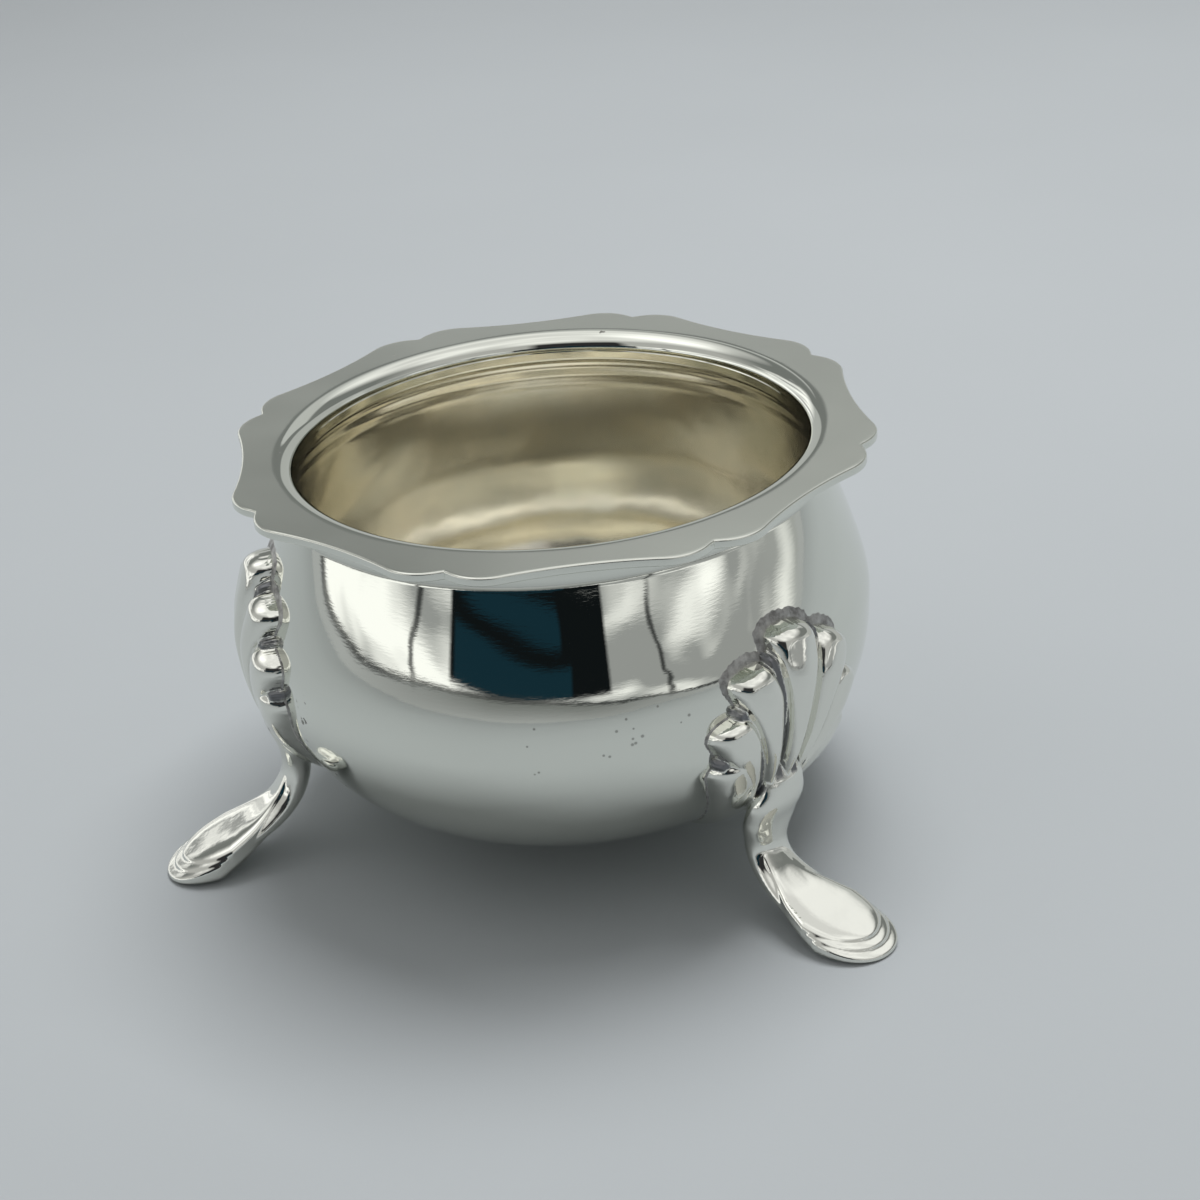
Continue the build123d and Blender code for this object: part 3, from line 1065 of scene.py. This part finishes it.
@dataclass
class Solder:
    """Run of solder round one shell, on the bowl's surface. Sizes in millimetres."""

    leg: Leg
    margin: float = 0.9
    thick: float = 0.2
    grid: float = 0.12

    def build(self, finish: bpy.types.Material) -> bpy.types.Object:
        """Make the run of solder and put it in place.

        Args:
            finish: Material of the solder.

        Returns:
            The solder.
        """
        sides = np.arange(-10.5, 10.5, self.grid)
        heights = np.arange(11.5, 34.6, self.grid) - self.leg.sink
        side, height = np.meshgrid(sides, heights)
        distance = -self.leg.shell_relief(side, height)[0]
        uneven = 0.09 * np.sin(side * 2.3 + height * 1.1) * np.sin(height * 1.7 - side * 0.9)
        uneven += 0.07 * np.sin(side * 6.1 - height * 3.7) * np.sin(height * 5.3 + side * 2.1)
        high = smooth_step(27.0, 31.5, height + self.leg.sink)
        wear = np.clip(self.margin * (0.25 + 1.1 * high) + uneven * (0.4 + high), 0.12, None)
        lift = self.thick * (1.0 - smooth_step(0.3, 1.0, distance / wear)) - 0.05
        radius = np.array([self.leg.bowl.body_radius(one) for one in heights])[:, None]
        layers = []
        for rise in (lift, np.full(side.shape, -0.25)):
            out = np.sqrt(np.clip((radius + rise) ** 2 - side**2, 0.0, None))
            layers.append(np.stack([out, side, height], axis=2).reshape(-1, 3))
        points, faces = grid_skin(layers, distance < wear * 1.05)
        piece = add_mesh(f"solder_run_{self.leg.place.label}", points, faces)
        turn_outward(piece)
        piece.data.transform(Matrix.Rotation(math.radians(self.leg.place.value), 4, "Z"))
        piece.data.shade_smooth()
        piece.data.materials.append(finish)
        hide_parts(f"solder_{self.leg.place.label}")
        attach(piece, "root")
        LOG.info("%s: %d corners", piece.name, len(piece.data.vertices))
        return piece


LEG_SETS = {
    Place.REAR: (1.3, 0.0, 0.0, 24.0),
    Place.FRONT_LEFT: (0.0, -5.5, 0.0, 22.0),
    Place.FRONT_RIGHT: (2.9, 7.6, 7.5, 30.0, 44.2),
}


# ---- studio ----------------------------------------------------------------------------------


@dataclass
class PhotoCamera:
    """Camera at the photograph's viewing angle. Angles in degrees, lengths in metres."""

    azimuth: float = 18.19
    elevation: float = 27.76
    roll: float = -4.55
    distance: float = 0.1799
    look: tuple = (0.01513, -0.03441, 0.0417)
    focal: float = 64.66

    def build(self) -> bpy.types.Object:
        """Place the camera and make it the scene's own."""
        turn, rise, roll = (math.radians(value) for value in (self.azimuth, self.elevation, self.roll))
        back = Vector((math.sin(turn) * math.cos(rise), -math.cos(turn) * math.cos(rise), math.sin(rise)))
        level = Vector((math.cos(turn), math.sin(turn), 0.0))
        upright = back.cross(level)
        right = math.cos(roll) * level + math.sin(roll) * upright
        above = -math.sin(roll) * level + math.cos(roll) * upright
        data = bpy.data.cameras.new("photo_camera")
        data.lens = self.focal
        data.sensor_width = 36.0
        data.sensor_fit = "HORIZONTAL"
        data.clip_start = 0.01
        camera = bpy.data.objects.new("photo_camera", data)
        turned = Matrix((right, above, back)).transposed().to_4x4()
        camera.matrix_world = Matrix.Translation(Vector(self.look) + back * self.distance) @ turned
        bpy.context.scene.collection.objects.link(camera)
        bpy.context.scene.camera = camera
        return camera


@dataclass
class SoftBox:
    """Rectangular soft lamp aimed at the object. Metres and watts."""

    name: str
    place: tuple
    size: tuple
    power: float
    aim: tuple = (0.0, 0.0, 0.02)

    def build(self) -> bpy.types.Object:
        """Hang the lamp."""
        data = bpy.data.lights.new(self.name, "AREA")
        data.shape = "RECTANGLE"
        data.size, data.size_y = self.size
        data.energy = self.power
        lamp = bpy.data.objects.new(self.name, data)
        lamp.location = self.place
        lamp.visible_glossy = False
        lamp.rotation_euler = (Vector(self.place) - Vector(self.aim)).to_track_quat("Z", "Y").to_euler()
        bpy.context.scene.collection.objects.link(lamp)
        return lamp


@dataclass(frozen=True)
class Room:
    """White cloth tent round the table, with a dark opening where the camera stands.

    Directions are sines of the height above level and radians round from the front.
    """

    roof: tuple = (1.45, 1.45, 1.43)
    roof_fold: tuple = (0.80, 0.80, 0.79)
    front: tuple = (0.50, 0.50, 0.49)
    figure: tuple = (0.03, 0.03, 0.032)
    upper: tuple = (0.205, 0.216, 0.210)
    sheen: tuple = (0.57, 0.585, 0.575)
    upper_low: tuple = (0.48, 0.495, 0.485)
    cloth: tuple = (1.27, 1.27, 1.25)
    crease: tuple = (0.36, 0.37, 0.37)
    card: tuple = (0.46, 0.475, 0.48)
    card_far: tuple = (0.20, 0.21, 0.205)
    opening: tuple = (0.006, 0.008, 0.009)
    doorway: tuple = (0.008, 0.03, 0.045)
    backdrop: tuple = (0.46, 0.48, 0.49)

    def build(self) -> None:
        """Make the room's light."""
        world = bpy.data.worlds.new("room")
        bpy.context.scene.world = world
        world.use_nodes = True
        sheet = RoomSheet(world.node_tree)
        split = sheet.add("ShaderNodeSeparateXYZ")
        sheet.join(sheet.add("ShaderNodeTexCoord").outputs["Generated"], split.inputs["Vector"])
        rise = split.outputs["Z"]
        turn = sheet.maths("ARCTAN2", split.outputs["X"], sheet.maths("MULTIPLY", split.outputs["Y"], -1.0))
        wall = sheet.add("ShaderNodeCombineXYZ")
        sheet.join(turn, wall.inputs["X"])
        sheet.join(rise, wall.inputs["Y"])
        wall = wall.outputs["Vector"]
        wave = sheet.spread(sheet.noise(2.3, 3.0, 0.5, (1.0, 4.0, 1.0), wall), (0.0, 1.0), (-0.13, 0.13))
        folds = sheet.spread(sheet.noise(1.7, 1.0, 0.4), (0.35, 0.65), (0.0, 1.0))
        roof = sheet.blend_colours(folds, self.roof_fold, self.roof)
        around = sheet.maths("ABSOLUTE", turn, 0.0)
        sheen = sheet.maths("MULTIPLY", sheet.spread(around, (2.72, 2.84), (0.0, 1.0)), sheet.spread(rise, (0.426, 0.436), (0.0, 1.0)))
        upper = sheet.blend_colours(sheen, self.upper, self.sheen)
        upper = sheet.blend_colours(sheet.spread(rise, (0.340, 0.362), (1.0, 0.0)), upper, self.upper_low)
        upper = sheet.blend_colours(sheet.spread(split.outputs["Y"], (-0.25, 0.25), (1.0, 0.0)), upper, self.front)
        colour = sheet.blend_colours(sheet.spread(rise, (0.62, 0.82), (0.0, 1.0)), upper, roof)
        colour = sheet.blend_colours(self.cloth_mask(sheet, rise, turn, wave), colour, self.cloth_colour(sheet, turn, wall))
        aside = sheet.maths("MINIMUM", sheet.maths("ABSOLUTE", turn, 0.0), 1.57)
        curl = sheet.maths("COSINE", sheet.maths("MULTIPLY", aside, 2.0), 0.0)
        level = sheet.maths("ADD", sheet.maths("MULTIPLY", curl, 0.060), 0.006)
        over_card = sheet.maths("SUBTRACT", rise, level)
        ahead = sheet.maths("MULTIPLY", sheet.window(turn, -0.7, 0.9, 0.5), sheet.spread(over_card, (-0.15, -0.01), (0.0, 1.0)))
        card = sheet.blend_colours(ahead, self.card, self.card_far)
        colour = sheet.blend_colours(sheet.spread(over_card, (-0.003, 0.003), (1.0, 0.0)), colour, card)
        wavy = sheet.maths("ADD", turn, wave)
        seams = sheet.maths("ADD", sheet.window(wavy, -0.69, -0.655, 0.010), sheet.window(wavy, 0.90, 0.93, 0.010))
        seams = sheet.maths("MULTIPLY", seams, sheet.window(over_card, 0.0, 0.20, 0.02))
        hem = sheet.maths("MULTIPLY", sheet.window(over_card, -0.004, 0.009, 0.003), sheet.window(turn, -2.35, 1.6, 0.2))
        seams = sheet.maths("MAXIMUM", seams, hem)
        colour = sheet.blend_colours(sheet.maths("MULTIPLY", seams, 0.85), colour, self.opening)
        dark = sheet.maths("MULTIPLY", sheet.window(turn, -0.43, 0.57, 0.012), sheet.window(rise, 0.072, 0.235, 0.006))
        blue = sheet.maths("MULTIPLY", sheet.window(turn, -0.40, 0.33, 0.01), sheet.window(rise, 0.08, 0.145, 0.004))
        blue = sheet.maths("ADD", blue, sheet.maths("MULTIPLY", sheet.window(turn, -0.38, 0.27, 0.01), sheet.window(rise, 0.172, 0.205, 0.004)))
        gap = sheet.blend_colours(blue, self.opening, self.doorway)
        figure = sheet.maths("MULTIPLY", sheet.window(turn, -0.34, 0.42, 0.05), sheet.window(rise, 0.20, 0.58, 0.05))
        colour = sheet.blend_colours(figure, colour, self.figure)
        colour = sheet.blend_colours(dark, colour, gap)
        rays = sheet.add("ShaderNodeLightPath")
        colour = sheet.blend_colours(rays.outputs["Is Camera Ray"], colour, self.backdrop)
        light = sheet.add("ShaderNodeBackground")
        sheet.join(sheet.spread(rays.outputs["Is Diffuse Ray"], (0.0, 1.0), (1.0, 0.52)), light.inputs["Strength"])
        sheet.join(colour, light.inputs["Color"])
        sheet.join(light.outputs["Background"], sheet.add("ShaderNodeOutputWorld").inputs["Surface"])

    def cloth_mask(self, sheet: RoomSheet, rise: object, turn: object, wave: object) -> bpy.types.NodeSocket:
        """Where the white cloth hangs: low at the sides and front, higher at the back left."""
        lifted = sheet.maths("ADD", rise, wave)
        across = sheet.maths("MULTIPLY", sheet.spread(turn, (-2.38, -2.32), (0.0, 1.0)), sheet.spread(turn, (1.6, 2.5), (1.0, 0.0)))
        sides = sheet.maths("MULTIPLY", across, sheet.window(lifted, -0.3, 0.27, 0.06))
        left = sheet.maths("MULTIPLY", sheet.window(turn, -2.46, -1.70, 0.08), sheet.window(lifted, -0.3, 0.44, 0.05))
        return sheet.maths("MAXIMUM", sides, left)

    def cloth_colour(self, sheet: RoomSheet, turn: object, wall: object) -> bpy.types.NodeSocket:
        """White cloth with soft creases, brighter on the left."""
        folds = sheet.noise(1.7, 2.0, 0.45, (1.0, 7.0, 1.0), wall)
        shade = sheet.spread(turn, (-0.9, 0.7), (0.07, -0.08))
        folds = sheet.spread(sheet.maths("ADD", folds, shade), (0.40, 0.62), (0.0, 1.0))
        return sheet.blend_colours(folds, self.crease, self.cloth)


@dataclass
class Studio:
    """Pale table and soft lamps in a white tent."""

    table_half: float = 0.42
    boxes: list = field(default_factory=lambda: [
        SoftBox("overhead", (0.06, 0.18, 0.64), (0.36, 0.32), 3.25),
    ])

    def build(self) -> None:
        """Lay the table, hang the lamps and set the room's light."""
        half = self.table_half / MM
        corners = np.array([(-half, -half, -0.02), (half, -half, -0.02), (half, half * 2, -0.02), (-half, half * 2, -0.02)])
        table = add_mesh("pale_table", corners, [(0, 1, 2, 3)])
        table.data.materials.append(TableSheet().make())
        for box in self.boxes:
            box.build()
        Room().build()
        bpy.context.scene.view_settings.view_transform = "Standard"


def main() -> None:
    """Build the salt cellar and its studio, piece by piece."""
    logging.basicConfig(level=logging.INFO)
    bowl = Bowl()
    bowl.build(BowlSilver().make())
    cast = CastSilver().make()
    run = SolderRun().make()
    for place in Place:
        leg = Leg(place, bowl, *LEG_SETS[place])
        leg.build(cast)
        Solder(leg).build(run)
    PhotoCamera().build()
    Studio().build()


if __name__ == "__main__":
    main()
